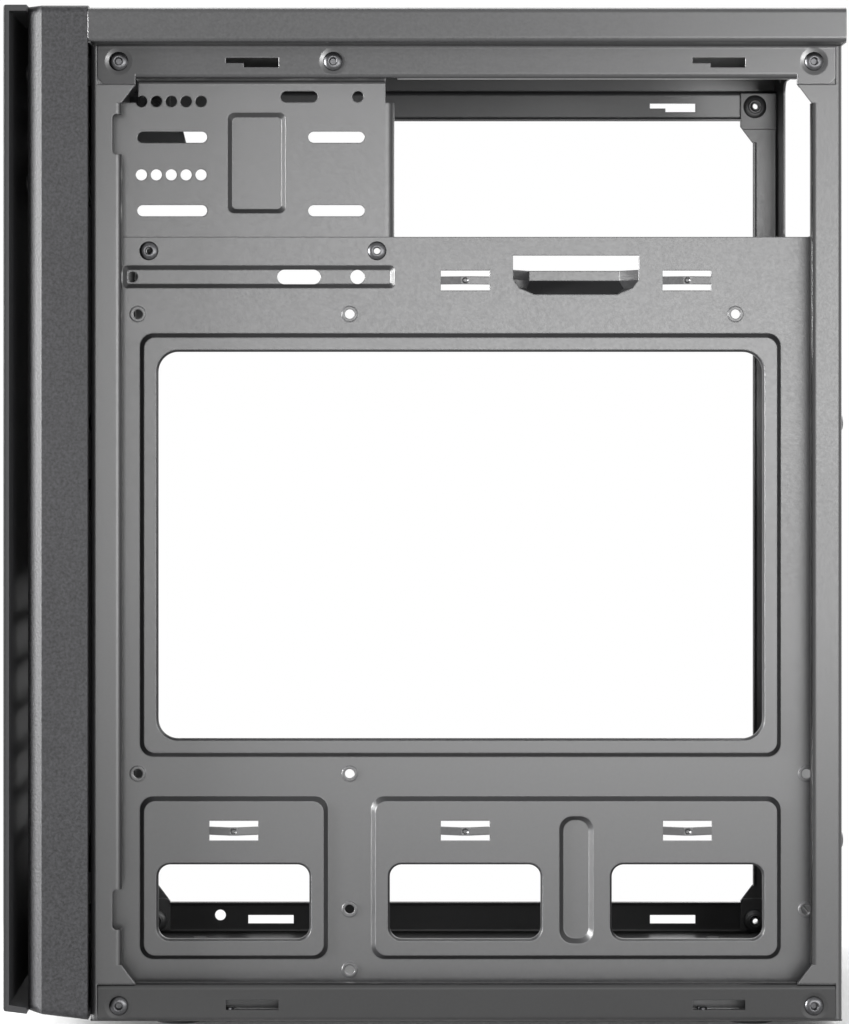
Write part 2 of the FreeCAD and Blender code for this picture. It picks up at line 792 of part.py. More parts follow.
def motherboard_tray():
    """Pressed tray: raised window frame and pads, recessed rib and channel, tie bridges, supply rest."""
    half = [(x_front_in, tray_back - tray_edge_fold), (x_front_in, tray_back)]
    far = [(x_rear_in, tray_back), (x_rear_in, tray_back - tray_edge_fold)]
    z_join = z_under + tray_skirt
    body = folded("XY", half + far, -1, z_join, tray_top)
    skirt = [(tray_back - tray_edge_fold, z_floor), (tray_back, z_floor), (tray_back, z_join + bend)]
    body = body.fuse(folded("YZ", skirt, 1, x_front + tray_skirt_inset, x_rear - tray_skirt_inset))

    window = (x_front + window_front_margin, x_rear - window_rear_margin,
              z_under + window_low, tray_top - window_below_tray_top)
    split = x_rear - board_insets[2]
    rim = rim_width
    front_pad = (window[0] - rim, split - pad_gap / 2, z_under + pad_low, z_under + pad_high)
    rear_pad = (split + pad_gap / 2, window[1] + rim, z_under + pad_low, z_under + pad_high)
    web = (rear_pad[0] + rear_pad[1]) / 2
    rib = (web - rib_width / 2, web + rib_width / 2, z_under + rib_low, z_under + rib_high)
    channel_top = tray_top - channel_drop
    channel = (x_front + tray_skirt_inset, x_front + channel_length, channel_top - channel_height, channel_top)
    raised = [pressed(tray_face, tray_back, box, emboss_radius, emboss_height)
              for box in (inset(window, -rim), front_pad, rear_pad)]
    sunk = pressed(tray_face - emboss_height, tray_back - emboss_height, rib, emboss_radius, -rib_depth)
    low = pressed(tray_face, tray_back, channel, emboss_run, -channel_depth)
    body = body.fuse([add for add, _ in raised]).cut([remove for _, remove in raised])
    body = body.fuse([sunk[0], low[0]]).cut([sunk[1], low[1]])

    def opening(box, radius):
        return prism("XZ", -rail_y, 0, rectangle(*box), radius)

    windows = []
    for x0, x1 in ((front_pad[0], front_pad[1]), (rear_pad[0], web - low_window_web / 2 + rim),
                   (web + low_window_web / 2 - rim, rear_pad[1])):
        windows.append((x0 + rim, x1 - rim, z_under + low_window_low, z_under + low_window_high))
    centres = [(box[0] + box[1]) / 2 for box in windows]
    framed = [(window, window_radius)] + [(box, low_window_radius) for box in windows]
    pad_face = tray_face - emboss_height
    flanges = [pressed(pad_face, pad_face + sheet, inset(box, -window_flange_run - sheet),
                       radius + window_flange_run, -window_flange, window_flange_run) for box, radius in framed]
    body = body.fuse([add for add, _ in flanges]).cut([remove for _, remove in flanges])
    cuts = [opening(box, radius) for box, radius in framed]
    bridges = [bridge(x, tray_top - top_bridge_drop) for x in centres[1:]]
    body = body.cut(cuts + [cut for cut, _ in bridges]).fuse([strip for _, strip in bridges])
    for x in centres:
        cut, strip = bridge(x, z_under + low_bridge_height)
        lift = Vector(0, -emboss_height, 0)
        body = body.cut(cut.translated(lift)).fuse(strip.translated(lift))
    solid, hollows = supply_rest(web)
    body = body.fuse(solid).cut(hollows)

    bosses = [rod(Vector(x, tray_back, z), Vector(0, -1, 0), board_boss_radius, sheet + board_boss_height)
              for x, z in board_places()]
    holes = [rod(Vector(x, tray_back + bend, z), Vector(0, -1, 0), board_hole_radius, 4 * bend)
             for x, z in board_places()]
    z_channel = channel_top - channel_height / 2
    y_cut = (tray_face - bend, tray_back + channel_depth + bend)
    slot_x = x_front + channel_slot_from_front
    slot_z = z_channel - channel_slot_height / 2
    slot = (slot_x, slot_x + channel_slot_length, slot_z, slot_z + channel_slot_height)
    holes.append(obround("XZ", *y_cut, *slot))
    for inset_x, radius in channel_holes:
        start = Vector(x_front + inset_x, y_cut[0], z_channel)
        holes.append(rod(start, Vector(0, 1, 0), radius, y_cut[1] - y_cut[0]))
    shank = rivet_shank_radius + touch / 2
    holes += [rod(Vector(x, tray_face - bend, z), Vector(0, 1, 0), shank, 3 * bend) for x, z in bracket_rivets]
    holes += [rod(Vector(x, y, z_floor - bend), Vector(0, 0, 1), shank, 3 * bend) for x, y, _ in floor_rivets]
    holes += along_x_holes(front_rivets[:2], x_front_in, shank)
    holes += along_x_holes(rear_rivets, x_rear_in - sheet, shank)
    return body.fuse(bosses).cut(holes)


def drive_bracket():
    """Drive plate behind the tray's top edge, folded at both ends, hung from the top rail clear of the hook."""
    z_low = bracket_low
    plate = [(bracket_front, tray_back + bracket_fold), (bracket_front, tray_back)]
    plate += [(bracket_rear, tray_back), (bracket_rear, tray_back + bracket_fold)]
    body = folded("XY", plate, 1, z_low, z_rail - bracket_clear, bracket_bend)
    hanger = [(tray_back, z_low + bend), (tray_back, z_rail)]
    hanger += [(-rail_y + sheet, z_rail), (-rail_y + sheet, z_step - bend)]
    x_hang = (x_front + bracket_tab_start, bracket_rear - bracket_bend - sheet)
    body = body.fuse(folded("YZ", hanger, -1, *x_hang))
    panel_x = x_front + bracket_panel_front_inset
    panel_z = z_top - bracket_panel_drop
    box = (panel_x, panel_x + bracket_panel_width, panel_z - bracket_panel_height, panel_z)
    add, remove = pressed(tray_back, tray_back + sheet, box, emboss_radius / 2, -channel_depth)
    body = body.fuse(add).cut(remove)
    cuts = []
    y_cut = (tray_back - bend, tray_back + sheet + bend)

    def slot(x0, length, z, height):
        cuts.append(obround("XZ", *y_cut, x0, x0 + length, z - height / 2, z + height / 2))

    for row in range(2):
        z = z_top - bracket_first_row - row * bracket_row_pitch
        for i in range(bracket_hole_count):
            x = x_front + bracket_hole_inset + i * bracket_hole_pitch
            cuts.append(rod(Vector(x, y_cut[0], z), Vector(0, 1, 0), bracket_hole_radius, y_cut[1] - y_cut[0]))
        z -= bracket_slot_offset
        slot(x_front + bracket_slot_front_inset, bracket_front_slot, z, bracket_slot_height)
        x = bracket_rear - bracket_slot_rear_inset - bracket_rear_slot
        slot(x, bracket_rear_slot, z, bracket_slot_height)
    z_upper = z_top - bracket_upper_drop
    slot(x_front + bracket_upper_from_front, bracket_upper_slot, z_upper, bracket_slot_height)
    x = bracket_rear - bracket_upper_hole_inset
    cuts.append(rod(Vector(x, y_cut[0], z_upper), Vector(0, 1, 0), bracket_hole_radius, y_cut[1] - y_cut[0]))
    shank = rivet_shank_radius + touch / 2
    cuts += [rod(Vector(x, y_cut[0], z), Vector(0, 1, 0), shank, 3 * bend) for x, z in bracket_rivets]
    cuts += along_x_holes(front_rivets[2:], x_front_in, shank)
    cuts += rivet_bores([(bracket_rivet_x, -1, rivet_top)])
    hook_x = hook_starts[0]
    z_hook = z_step - hook_drop - hook_height
    cuts.append(slab(hook_x - bend, hook_x + hook_length + bend, -rail_y, tray_back - bend, z_hook - bend, z_step))
    return body.cut(cuts)


def rivet(seat, axis, grip):
    """Pop rivet: low domed head on seat, shank along axis through the grip and out behind it."""
    profile = [(0, -rivet_head_height), (rivet_crown_radius, -rivet_head_height), (rivet_head_radius, 0)]
    z_tail = grip + rivet_tail_length
    profile += [(rivet_shank_radius, 0), (rivet_shank_radius, z_tail), (0, z_tail)]
    body = Part.Face(outline("XZ", 0, profile)).revolve(Vector(0, 0, 0), Vector(0, 0, 1), 360)
    body.Placement = FreeCAD.Placement(seat, FreeCAD.Rotation(Vector(0, 0, 1), axis))
    return body


def corner_rivet(x, side, z):
    seat = Vector(x, side * (rail_y - rivet_dimple_depth), z)
    return rivet(seat, Vector(0, -side, 0), 2 * sheet - rivet_dimple_depth)


def foot(x, y):
    """Moulded push-in foot: tapered pad under the floor and a barbed stem through it."""
    z_barb = z_floor + touch
    profile = [(0, 0), (foot_radius - foot_taper, 0), (foot_radius, z_under), (foot_stem_radius, z_under)]
    profile += [(foot_stem_radius, z_barb), (foot_barb_radius, z_barb)]
    profile += [(foot_stem_radius, z_barb + foot_barb_height), (0, z_barb + foot_barb_height)]
    body = Part.Face(outline("XZ", 0, profile)).revolve(Vector(0, 0, 0), Vector(0, 0, 1), 360)
    return body.translated(Vector(x, y, 0))


x_side = x_front - bezel_side_depth
x_wall = x_side - bezel_bevel_depth
x_plate = x_nose + plate_thickness
x_board = x_plate + board_standoff
z_bezel = z_top + bezel_over_top
board_high = z_top - board_below_top
board_low = board_high - board_height
control_z = board_high - control_row
port_z = board_high - port_row
jack_offsets = (jack_inset - board_width / 2, jack_inset + jack_pitch - board_width / 2)
serial_offsets = (board_width / 2 - serial_inset - serial_pitch, board_width / 2 - serial_inset)


def bezel_low(x):
    """Height of the bezel's underside, which rises towards the front."""
    share = (x_front - x) / bezel_depth
    return z_under + bezel_rise_rear + share * (bezel_rise_front - bezel_rise_rear)


def bezel_ring(x, step, wall):
    """Outline of the bezel at one depth, drawn in by step at the sides and by the wall all round."""
    half = lip_y - step - wall
    points = rectangle(-half, half, bezel_low(x) + wall, z_bezel - wall)
    return outline("YZ", x, points, max(bezel_radius - wall, bezel_radius / 4))


def front_bezel():
    """Moulded shell with bevelled sides, air slots in its front wall and snap clips behind it."""
    shell = Part.makeLoft([bezel_ring(x_front, 0, 0), bezel_ring(x_side, 0, 0),
                           bezel_ring(x_wall, bezel_bevel_width, 0)], True, True)
    hollow = Part.makeLoft([bezel_ring(x_front + bend, 0, bezel_wall), bezel_ring(x_side, 0, bezel_wall),
                            bezel_ring(x_wall + bezel_wall, bezel_bevel_width, bezel_wall)], True, True)
    through = (x_wall - bend, x_wall + bezel_wall + bend)
    margin = bezel_wall + bezel_radius / 2
    half = board_width / 2 + margin
    room = rectangle(-half, half, board_low - margin, board_high + margin)
    cuts = [hollow, prism("YZ", *through, room, bezel_radius)]
    slot_half = intake_pitch * (vent_rings + 1)
    for row in range(-vent_rings, vent_rings + 1):
        z = z_under + intake_height + row * intake_pitch
        height = intake_flat / 2 - bend
        slot = rectangle(-slot_half, slot_half, z - height, z + height)
        cuts.append(prism("YZ", *through, slot, bezel_radius))
    clips = []
    for y, z in clip_places():
        out = 1 if y > 0 else -1
        thick = clip_thickness / 2
        wide = clip_width / 2
        x_tip = x_front_in + clip_reach
        x_root = x_wall + bend
        x_hook = x_front_in + touch
        root_half = wide + bend
        clips.append(slab(x_root, x_front, y - 2 * thick, y + 2 * thick, z - root_half, z + root_half))
        barb = [(x_root, y - out * thick), (x_root, y + out * thick), (x_hook, y + out * thick)]
        barb += [(x_hook, y + out * (thick + clip_barb)), (x_tip, y + out * touch), (x_tip, y - out * thick)]
        clips.append(prism("XY", z - wide, z + wide, barb))
    return shell.cut(cuts).fuse(clips)


def board_corners():
    half = board_width / 2 - post_inset
    return [(side * half, z) for side in sides for z in (board_low + post_inset, board_high - post_inset)]


def front_plate():
    """Thin front face with top and bottom returns onto the bezel, holes for the controls, board posts."""
    t = plate_thickness
    low_front = bezel_low(x_nose)
    low_wall = bezel_low(x_wall)
    points = [(x_nose, low_front), (x_wall, low_wall), (x_wall, low_wall + t), (x_plate, low_front + t)]
    points += [(x_plate, z_bezel - t), (x_wall, z_bezel - t), (x_wall, z_bezel), (x_nose, z_bezel)]
    body = prism("XZ", -lip_y, lip_y, points)
    front_edges = [e for e in body.Edges if all(abs(v.X - x_nose) < touch for v in e.Vertexes)]
    body = body.makeFillet(plate_corner / 2, front_edges)
    posts = [rod(Vector(x_plate - bend, y, z), Vector(1, 0, 0), post_radius, board_standoff + bend)
             for y, z in board_corners()]
    body = body.fuse(posts)
    pilot = board_screw_radius + touch / 2
    reach = board_screw_length
    cuts = [rod(Vector(x_board - reach, y, z), Vector(1, 0, 0), pilot, reach + bend)
            for y, z in board_corners()]
    rounds = [(0, control_z, power_radius + press_gap), (reset_offset, control_z, reset_radius + press_gap)]
    rounds += [(y, control_z, light_radius + touch) for y in light_offsets]
    rounds += [(y, port_z, jack_nose_radius + touch) for y in jack_offsets]
    for y, z, radius in rounds:
        cuts.append(rod(Vector(x_nose - bend, y, z), Vector(1, 0, 0), radius, t + 2 * bend))
    for y in serial_offsets:
        half = serial_width / 2 + touch
        tall = serial_height / 2 + touch
        cuts.append(slab(x_nose - bend, x_plate + bend, y - half, y + half, port_z - tall, port_z + tall))
    return body.cut(cuts)


def press_button(y, radius):
    """Button cap in the front plate, with a flange behind the plate and a stem into its switch."""
    x_cap = x_nose + press_sink
    x_flange = x_plate + press_gap
    x_tip = x_board - switch_height + stem_start
    axis = Vector(1, 0, 0)
    cap = rod(Vector(x_cap, y, control_z), axis, radius, x_flange - x_cap)
    rim = max(e.BoundBox.XMin for e in cap.Edges)
    cap = cap.makeChamfer(press_sink, [e for e in cap.Edges if e.BoundBox.XMax < rim - bend])
    flange = rod(Vector(x_flange, y, control_z), axis, radius + press_flange, press_flange_height)
    stem = rod(Vector(x_flange, y, control_z), axis, stem_radius, x_tip - x_flange)
    return cap.fuse([flange, stem])


def switch(y):
    half = switch_side / 2
    body = slab(x_board - switch_height, x_board, y - half, y + half, control_z - half, control_z + half)
    mouth = Vector(x_board - switch_height, y, control_z)
    depth = stem_start + press_travel + stem_end_gap
    return body.cut(rod(mouth, Vector(1, 0, 0), stem_radius + hole_clearance, depth))


def front_board():
    half = board_width / 2
    body = slab(x_board, x_board + board_thickness, -half, half, board_low, board_high)
    radius = board_screw_radius + touch
    return body.cut([rod(Vector(x_board - bend, y, z), Vector(1, 0, 0), radius, board_thickness + 2 * bend)
                     for y, z in board_corners()])


def board_screw(y, z):
    seat = Vector(x_board + board_thickness, y, z)
    head = rod(seat, Vector(1, 0, 0), board_screw_head_radius, board_screw_head_height)
    return head.fuse(rod(seat, Vector(-1, 0, 0), board_screw_radius, board_screw_length))


def serial_port(y):
    """Metal-shelled port: open shell with a contact tongue standing in it."""
    half = serial_width / 2
    tall = serial_height / 2
    x_mouth = x_nose + press_sink
    body = slab(x_mouth, x_board, y - half, y + half, port_z - tall, port_z + tall)
    wall = serial_wall
    x_back = x_mouth + serial_depth
    clear_y = half - wall
    clear_z = tall - wall
    room = slab(x_mouth, x_back, y - clear_y, y + clear_y, port_z - clear_z, port_z + clear_z)
    wide = serial_tongue_width / 2
    z_high = port_z + clear_z - wall
    tongue = slab(x_mouth + bend, x_back, y - wide, y + wide, z_high - serial_tongue_height, z_high)
    return body.cut(room).fuse(tongue)


def audio_jack(y):
    """Jack body on the board, with a round nose in the front plate and a plug bore."""
    half = jack_side / 2
    x_mouth = x_nose + press_sink
    nose = rod(Vector(x_mouth, y, port_z), Vector(1, 0, 0), jack_nose_radius, jack_nose_length)
    body = slab(x_mouth + jack_nose_length - bend, x_board, y - half, y + half, port_z - half, port_z + half)
    bore = rod(Vector(x_mouth, y, port_z), Vector(1, 0, 0), jack_bore_radius, jack_bore_depth)
    return nose.fuse(body).cut(bore)


def light_pipe(y):
    x_tip = x_nose + press_sink
    return rod(Vector(x_tip, y, control_z), Vector(1, 0, 0), light_radius, x_board - x_tip)


def pieces():
    """Every node with its solids; like fasteners share a node."""
    yield "top_panel", [top_panel()]
    yield "bottom_panel", [bottom_panel()]
    yield "front_panel", [front_panel()]
    yield "rear_panel", [rear_panel()]
    yield "motherboard_tray", [motherboard_tray()]
    yield "drive_bracket", [drive_bracket()]
    yield "frame_rivets", [corner_rivet(*where) for where in frame_rivets]
    grip = 2 * sheet
    yield "tray_rivets", [rivet(Vector(x, y, z), Vector(0, 0, 1), grip) for x, y, z in floor_rivets]
    yield "bracket_rivets", [rivet(Vector(x, tray_face, z), Vector(0, 1, 0), grip) for x, z in bracket_rivets]
    yield "front_rivets", [rivet(Vector(x_front, y, z), Vector(1, 0, 0), grip) for y, z in front_rivets]
    yield "rear_rivets", [rivet(Vector(x_rear, y, z), Vector(-1, 0, 0), grip) for y, z in rear_rivets]
    for number, z in enumerate(slot_heights(), 1):
        yield f"slot_cover_{number}", [slot_cover(z)]
    yield "slot_screws", [slot_screw(z) for z in slot_heights()]
    for name, (x, y) in foot_places.items():
        yield name, [foot(x, y)]
    yield "front_bezel", [front_bezel()]
    yield "front_plate", [front_plate()]
    yield "power_button", [press_button(0, power_radius)]
    yield "reset_button", [press_button(reset_offset, reset_radius)]
    yield "power_switch", [switch(0)]
    yield "reset_switch", [switch(reset_offset)]
    yield "front_board", [front_board()]
    yield "board_screws", [board_screw(y, z) for y, z in board_corners()]
    for number, y in enumerate(serial_offsets, 1):
        yield f"serial_port_{number}", [serial_port(y)]
    yield "microphone_jack", [audio_jack(jack_offsets[0])]
    yield "headphone_jack", [audio_jack(jack_offsets[1])]
    yield "power_light", [light_pipe(light_offsets[0])]
    yield "drive_light", [light_pipe(light_offsets[1])]


for name, solids in pieces():
    tidy = [solid.removeSplitter() for solid in solids]
    shape = tidy[0] if len(tidy) == 1 else Part.makeCompound(tidy)
    shape.exportStep(f"parts/{name}.step")
    triangles = sum(len(solid.tessellate(touch)[1]) for solid in tidy)
    print(name, len(shape.Solids), shape.isValid(), round(shape.Volume), triangles)
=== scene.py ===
"""Looks of a mini-tower computer case with its side panels off, dressed around its CAD frame.

Everything is in metres in the CAD frame: +Z up, -X the front bezel, -Y the side behind the motherboard tray.
"""
import math

import bmesh
import bpy
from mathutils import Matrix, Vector


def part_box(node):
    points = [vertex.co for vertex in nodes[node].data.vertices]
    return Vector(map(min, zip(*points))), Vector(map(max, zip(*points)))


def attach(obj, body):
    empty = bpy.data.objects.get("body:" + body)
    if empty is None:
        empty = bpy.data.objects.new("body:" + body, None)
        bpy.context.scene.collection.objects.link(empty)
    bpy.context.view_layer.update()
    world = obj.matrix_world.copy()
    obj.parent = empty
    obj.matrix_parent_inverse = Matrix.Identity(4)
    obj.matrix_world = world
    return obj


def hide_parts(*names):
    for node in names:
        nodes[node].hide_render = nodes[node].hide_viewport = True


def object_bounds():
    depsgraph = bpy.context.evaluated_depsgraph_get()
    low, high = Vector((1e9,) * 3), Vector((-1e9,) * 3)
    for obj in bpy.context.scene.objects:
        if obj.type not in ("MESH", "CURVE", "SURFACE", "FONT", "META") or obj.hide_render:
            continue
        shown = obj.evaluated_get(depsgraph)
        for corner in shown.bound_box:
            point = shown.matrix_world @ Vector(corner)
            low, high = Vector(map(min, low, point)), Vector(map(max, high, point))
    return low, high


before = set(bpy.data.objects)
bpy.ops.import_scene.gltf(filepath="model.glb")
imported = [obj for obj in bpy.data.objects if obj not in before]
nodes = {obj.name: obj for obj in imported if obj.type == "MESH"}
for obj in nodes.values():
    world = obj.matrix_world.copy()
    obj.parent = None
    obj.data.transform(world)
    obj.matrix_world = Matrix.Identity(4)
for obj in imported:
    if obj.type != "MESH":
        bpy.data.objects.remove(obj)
cad_box = [list(corner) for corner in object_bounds()]

MM = 0.001
CASE = "case"

# Photograph: its size in pixels, focal length in pixels, and the pixel the level camera looks straight at
PHOTO_WIDTH = 849
PHOTO_HEIGHT = 1024
FOCAL_PIXELS = 3056
AIM_X = 387
AIM_Y = 389
SENSOR = 36.0
CAMERA = Vector((-18.0, -1103.0, 215.3)) * MM
CLIP_START = 0.01
CLIP_END = 50.0

# Finishes: how two tones spread over fine and broad grain, and how a bend or a cut edge gets a painted highlight,
# lighter than the surface
BROAD_GRAIN = 60
BROAD_SHARE = 0.2
TONE_START = 0.4
TONE_END = 0.8
ROUGHNESS_SPREAD = 0.04
EDGE_SAMPLES = 6
HIGHLIGHT_START = 0.98
HIGHLIGHT_END = 0.75
HIGHLIGHT_SHARE = 0.5

# Fasteners, and the unit shapes they are turned from: points around, and the radius that stands for the axis
RIVET_HEAD_RADIUS = 3.2 * MM
RIVET_HEAD_HEIGHT = 1.1 * MM
RIVET_SHANK_RADIUS = 1.55 * MM
RIVET_TAIL_LENGTH = 2.2 * MM
MANDREL_RADIUS = 1.1 * MM
MANDREL_LENGTH = 1.5 * MM
MANDREL_DEPTH = 0.9 * MM
PRESSING_RADIUS = 4.5 * MM
PRESSING_HEIGHT = 1.2 * MM
SCREW_HEAD_RADIUS = 3.2 * MM
SCREW_HEAD_HEIGHT = 2.2 * MM
SCREW_SHANK_RADIUS = 1.55 * MM
BOARD_SCREW_HEAD_RADIUS = 2.6 * MM
BOARD_SCREW_HEAD_HEIGHT = 1.6 * MM
BOARD_SCREW_SHANK_RADIUS = 1.15 * MM
RECESS_ARMS = ((1.1, 0.2, 1.2), (0.2, 1.1, 1.2))
RECESS_HEIGHT = 1.1
AROUND = 40
AXIS = 0.0005
WELD = 0.001 * MM

# Contacts and pins of the front board
CONTACT_PITCH = 2.4 * MM
CONTACT_WIDTH = 1.2 * MM
CONTACT_LENGTH = 8.0 * MM
CONTACT_THICKNESS = 0.15 * MM
CONTACT_COUNT = 4
SHELL_WALL = 0.6 * MM
TONGUE_THICKNESS = 1.8 * MM
PORT_DEPTH = 12.0 * MM
PIN_PITCH = 2.54 * MM
PIN_SIDE = 0.64 * MM
PIN_LENGTH = 4.6 * MM
PIN_ROWS = 2
PIN_COLUMNS = 10
HEADER_HEIGHT = 2.5 * MM

# Studio: the floor's tones, to the eye and to bounced light, and the reach of the shadow around the case
WHITE = "#ffffff"
FLOOR_SIZE = 0.9
FLOOR_SEEN = "#e6e6e6"
FLOOR_BOUNCED = "#5c5c5c"
FLOOR_ROUGHNESS = 0.7
SHADOW_START = 4 * MM
SHADOW_END = 46 * MM
SURROUND_LIGHT = 0.28
LAMP_AIM = Vector((0, 0, 0.19))

# Lamps: place, width and height, power in watts, and the nodes that a lamp lights alone or leaves out
LAMPS = (
    ("key softbox", (0.42, -1.35, 0.22), (1.36, 0.46), 17.2, "EXCLUDE", ["bottom_panel", "top_panel"]),
    ("high softbox", (0.76, -1.3, 0.215), (0.8, 0.24), 26.0, "INCLUDE", ["top_panel"]),
    ("low softbox", (0.44, -1.35, 0.25), (1.32, 0.36), 2.5, "INCLUDE", ["bottom_panel"]),
    ("left strip", (-1.12, -0.45, 0.26), (0.35, 0.5), 74.0, "INCLUDE", ["front_bezel"]),
    ("left fill", (-1.12, -0.45, 0.26), (0.35, 0.5), 48.0, "EXCLUDE",
     ["front_bezel", "front_plate", "rear_panel", "bottom_panel"]),
    ("front softbox", (-1.3, 0.35, 0.6), (0.8, 0.8), 22.0, "EXCLUDE", ["front_bezel"]),
    ("far softbox", (0.9, 1.4, 0.7), (1.7, 1.2), 11.0, "EXCLUDE", ["front_plate"]),
    ("rear softbox", (1.5, 0.5, 1.0), (1.3, 1.3), 6.0, "EXCLUDE", []),
    ("top softbox", (0.1, 0.6, 1.5), (1.2, 0.8), 15.0, "EXCLUDE", []),
)


def linear(hex_colour):
    """sRGB hex value as a linear colour."""
    values = [int(hex_colour[i:i + 2], 16) / 255 for i in (1, 3, 5)]
    return [v / 12.92 if v <= 0.04045 else ((v + 0.055) / 1.055) ** 2.4 for v in values] + [1.0]


def add(tree, kind, inputs=None, **settings):
    """New node with its settings; each input is linked where a socket is given, and set otherwise."""
    node = tree.nodes.new(kind)
    for name, value in settings.items():
        setattr(node, name, value)
    for name, value in (inputs or {}).items():
        if isinstance(value, bpy.types.NodeSocket):
            tree.links.new(value, node.inputs[name])
        else:
            node.inputs[name].default_value = value
    return node


def new_material(name):
    """Empty material with a principled shader at its output."""
    material = bpy.data.materials.new(name)
    material.use_nodes = True
    tree = material.node_tree
    tree.nodes.clear()
    shader = add(tree, "ShaderNodeBsdfPrincipled")
    add(tree, "ShaderNodeOutputMaterial", {"Surface": shader.outputs[0]})
    return material, tree, shader


def finish(name, dark, light, grain, roughness, bump, bump_depth, edge=0.0, highlight_colour=None, **shader_values):
    """Material with two tones over a grain of a real size, the same grain as bump, and edges rounded to the eye by a
    bevelled normal, with a painted highlight along them.
    """
    material, tree, shader = new_material(name)
    place = add(tree, "ShaderNodeTexCoord").outputs["Object"]
    fine = add(tree, "ShaderNodeTexNoise", {"Vector": place, "Scale": 1 / grain, "Detail": 3.0, "Roughness": 0.6})
    broad = add(tree, "ShaderNodeTexNoise", {"Vector": place, "Scale": 1 / (BROAD_GRAIN * grain), "Detail": 2.0})
    blend = add(tree, "ShaderNodeMath", {0: broad.outputs["Fac"], 1: BROAD_SHARE, 2: fine.outputs["Fac"]},
                operation="MULTIPLY_ADD")
    tone = add(tree, "ShaderNodeMapRange", {"Value": blend.outputs[0], "From Min": TONE_START, "From Max": TONE_END})
    colour = add(tree, "ShaderNodeMix", {"Factor": tone.outputs[0], "A": linear(dark), "B": linear(light)},
                 data_type="RGBA")
    colour_socket = colour.outputs["Result"]
    normal = None
    if edge:
        rounded = add(tree, "ShaderNodeBevel", {"Radius": edge}, samples=EDGE_SAMPLES)
        normal = rounded.outputs["Normal"]
        # Painted highlight: where the bevelled normal turns from the flat one, at bends and edges, the colour is
        # mixed toward a lighter highlight colour
        true_normal = add(tree, "ShaderNodeNewGeometry").outputs["True Normal"]
        same = add(tree, "ShaderNodeVectorMath", {0: normal, 1: true_normal}, operation="DOT_PRODUCT")
        edge_highlight = add(tree, "ShaderNodeMapRange", {"Value": same.outputs["Value"], "From Min": HIGHLIGHT_START,
                                                "From Max": HIGHLIGHT_END, "To Max": HIGHLIGHT_SHARE})
        mixed = add(tree, "ShaderNodeMix", {"Factor": edge_highlight.outputs[0], "A": colour_socket,
                                            "B": linear(highlight_colour or light)}, data_type="RGBA")
        colour_socket = mixed.outputs["Result"]
    relief = {"Strength": bump, "Distance": bump_depth, "Height": fine.outputs["Fac"]}
    if normal:
        relief["Normal"] = normal
    bumped = add(tree, "ShaderNodeBump", relief)
    rough = add(tree, "ShaderNodeMapRange", {"Value": tone.outputs[0], "To Min": roughness - ROUGHNESS_SPREAD,
                                             "To Max": roughness + ROUGHNESS_SPREAD})
    tree.links.new(colour_socket, shader.inputs["Base Color"])
    tree.links.new(rough.outputs[0], shader.inputs["Roughness"])
    tree.links.new(bumped.outputs["Normal"], shader.inputs["Normal"])
    for socket, value in shader_values.items():
        shader.inputs[socket.replace("_", " ")].default_value = value
    return material


# Each finish is named for the real material, with what its making gives the eye
FINISHES = {
    # Baked powder coat on folded sheet: a soft satin sheen, faint orange peel, and a painted highlight that makes it
    # lighter along bends and edges
    "painted_steel": finish("satin powder coat on sheet steel", "#202021", "#262627", 0.9 * MM, 0.36, 0.08, 0.02 * MM,
                            edge=0.5 * MM, highlight_colour="#77777a", Specular_IOR_Level=0.9),
    # Drawn steel rivets, bright where the mandrel rolled them
    "rivet_steel": finish("black zinc on drawn steel rivets", "#464647", "#58585a", 0.5 * MM, 0.34, 0.1, 0.02 * MM,
                          Metallic=1.0),
    # Compression-moulded rubber: dull, a little dusty, with a faint painted highlight on its rounded edges
    "foot_rubber": finish("moulded black rubber", "#1c1c1d", "#272728", 0.7 * MM, 0.8, 0.3, 0.05 * MM, edge=0.4 * MM),
    # Zinc-plated screws: bright and slightly cloudy
    "plated_screws": finish("zinc plate on cold-headed screws", "#a4a6a8", "#bfc1c2", 0.6 * MM, 0.3, 0.1, 0.02 * MM,
                            Metallic=1.0),
    # Injection-moulded ABS from a spark-eroded tool: a sandy grain that scatters the light, and a painted highlight
    # along rounded edges
    "bezel_plastic": finish("spark-textured moulded ABS", "#111112", "#28282a", 0.9 * MM, 0.5, 0.9, 0.12 * MM,
                            edge=0.5 * MM, highlight_colour="#303032", Specular_IOR_Level=0.26),
    "plate_plastic": finish("fine-textured moulded ABS", "#313132", "#3c3c3e", 0.4 * MM, 0.5, 0.4, 0.05 * MM,
                            edge=0.4 * MM, highlight_colour="#464648", Specular_IOR_Level=0.4),
    # Polished moulded caps, with a faint painted highlight on their rounded edges
    "button_plastic": finish("polished moulded ABS", "#3c3c3e", "#444446", 0.8 * MM, 0.25, 0.05, 0.02 * MM,
                             edge=0.2 * MM),
    "switch_plastic": finish("moulded nylon", "#1d1d1e", "#29292a", 0.5 * MM, 0.5, 0.2, 0.03 * MM),
    # Solder mask over woven glass laminate
    "board_laminate": finish("solder mask on glass laminate", "#123a22", "#1a4a2c", 0.8 * MM, 0.35, 0.15, 0.02 * MM),
    "port_shell": finish("nickel plate on folded steel", "#a9a9a8", "#c4c4c2", 0.6 * MM, 0.25, 0.08, 0.02 * MM,
                         Metallic=1.0),
    "jack_plastic": finish("moulded black nylon", "#161617", "#222223", 0.5 * MM, 0.45, 0.2, 0.03 * MM),
    # Clear acrylic rods, lightly frosted at their ends
    "light_plastic": finish("frosted clear acrylic", "#dfe3e6", "#eef1f3", 0.5 * MM, 0.2, 0.1, 0.02 * MM,
                            Transmission_Weight=0.6, IOR=1.49),
}
GOLD = finish("gold flash on nickel contacts", "#b08a3e", "#cba552", 0.5 * MM, 0.25, 0.05, 0.01 * MM, Metallic=1.0)

